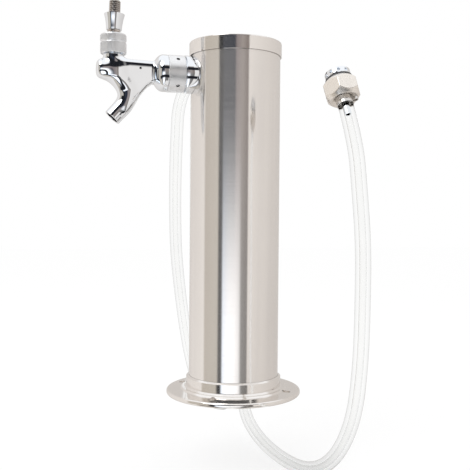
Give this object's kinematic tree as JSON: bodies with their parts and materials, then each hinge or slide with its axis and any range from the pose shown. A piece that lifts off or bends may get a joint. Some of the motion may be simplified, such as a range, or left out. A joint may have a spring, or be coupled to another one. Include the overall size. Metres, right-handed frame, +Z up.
{
  "type": "beer tower dispenser",
  "caption": "Stainless beer tower on a round bolted flange, with a lever faucet, a lift-off cap and a clear vinyl beer line that ends in a hex coupler nut.",
  "frame": {"origin": "centre of the screw circle on the flange's underside, on the column's axis", "axes": "+Z up the column, -Y towards the faucet and its user, +X to the user's left as seen from above the faucet"},
  "size_m": [0.2533, 0.1778, 0.3844],
  "materials": {
    "polished_steel": "polished stainless steel with a faint brushed grain",
    "chrome_plate": "mirror chrome plate",
    "satin_nickel": "satin nickel plate",
    "stud_steel": "plain machined steel, warm grey",
    "clamp_steel": "dark stainless band",
    "black_rubber": "black rubber",
    "white_plastic": "white moulded plastic",
    "clear_vinyl": "clear flexible vinyl"
  },
  "bodies": {
    "tower": {"base_flange": "polished_steel", "column_tube": "polished_steel", "shank": "chrome_plate", "shank_collar": "chrome_plate", "inner_saddle": "white_plastic", "lock_nut": "satin_nickel", "coupling_gasket": "black_rubber", "snap_ring": "stud_steel", "faucet_body": "chrome_plate", "ball_seat": "white_plastic", "friction_ring": "white_plastic", "elbow_gasket": "black_rubber", "elbow_nut": "satin_nickel", "elbow_tail": "chrome_plate", "inner_clamp": "clamp_steel", "line_inside": "clear_vinyl", "beer_line": "clear_vinyl", "hose_clamp": "clamp_steel", "hose_tailpiece": "chrome_plate", "hose_washer": "black_rubber", "hose_crown": "chrome_plate"},
    "cap": {"top_cap": "polished_steel", "cap_seal": "black_rubber"},
    "faucet_nut": {"coupling_nut": "satin_nickel"},
    "valve": {"faucet_plunger": "stud_steel", "seat_washer": "black_rubber", "plunger_nut": "stud_steel"},
    "bonnet_ring": {"bonnet": "satin_nickel"},
    "lever_arm": {"lever": "stud_steel"},
    "ferrule": {"lever_ferrule": "chrome_plate"},
    "line_nut": {"hose_nut": "satin_nickel"}
  },
  "joints": [
    {"name": "cap_lift", "type": "slide", "parent": "tower", "child": "cap", "axis": [0, 0, 1], "range_m": [0, 0.03]},
    {"name": "coupling_spin", "type": "hinge", "parent": "tower", "child": "faucet_nut", "pos_m": [0, -0.052, 0.269], "axis": [0, -1, 0], "continuous": true},
    {"name": "lever_tilt", "type": "hinge", "parent": "tower", "child": "lever_arm", "pos_m": [0, -0.1032, 0.29], "axis": [1, 0, 0], "range_deg": [0, 18]},
    {"name": "plunger_slide", "type": "slide", "parent": "tower", "child": "valve", "axis": [0, 1, 0], "range_m": [0, 0.0069]},
    {"name": "bonnet_spin", "type": "hinge", "parent": "tower", "child": "bonnet_ring", "pos_m": [0, -0.1032, 0.29], "axis": [0, 0, 1], "continuous": true},
    {"name": "ferrule_spin", "type": "hinge", "parent": "lever_arm", "child": "ferrule", "pos_m": [0, -0.1032, 0.29], "axis": [0, 0.0349, 0.9994], "continuous": true},
    {"name": "hose_nut_spin", "type": "hinge", "parent": "tower", "child": "line_nut", "pos_m": [0.1164, 0.0477, 0.2367], "axis": [-0.4297, -0.0634, 0.9007], "continuous": true}
  ],
  "couplings": [
    {"joint": "plunger_slide", "follows": "lever_tilt", "m_per_rad": 0.0215}
  ]
}
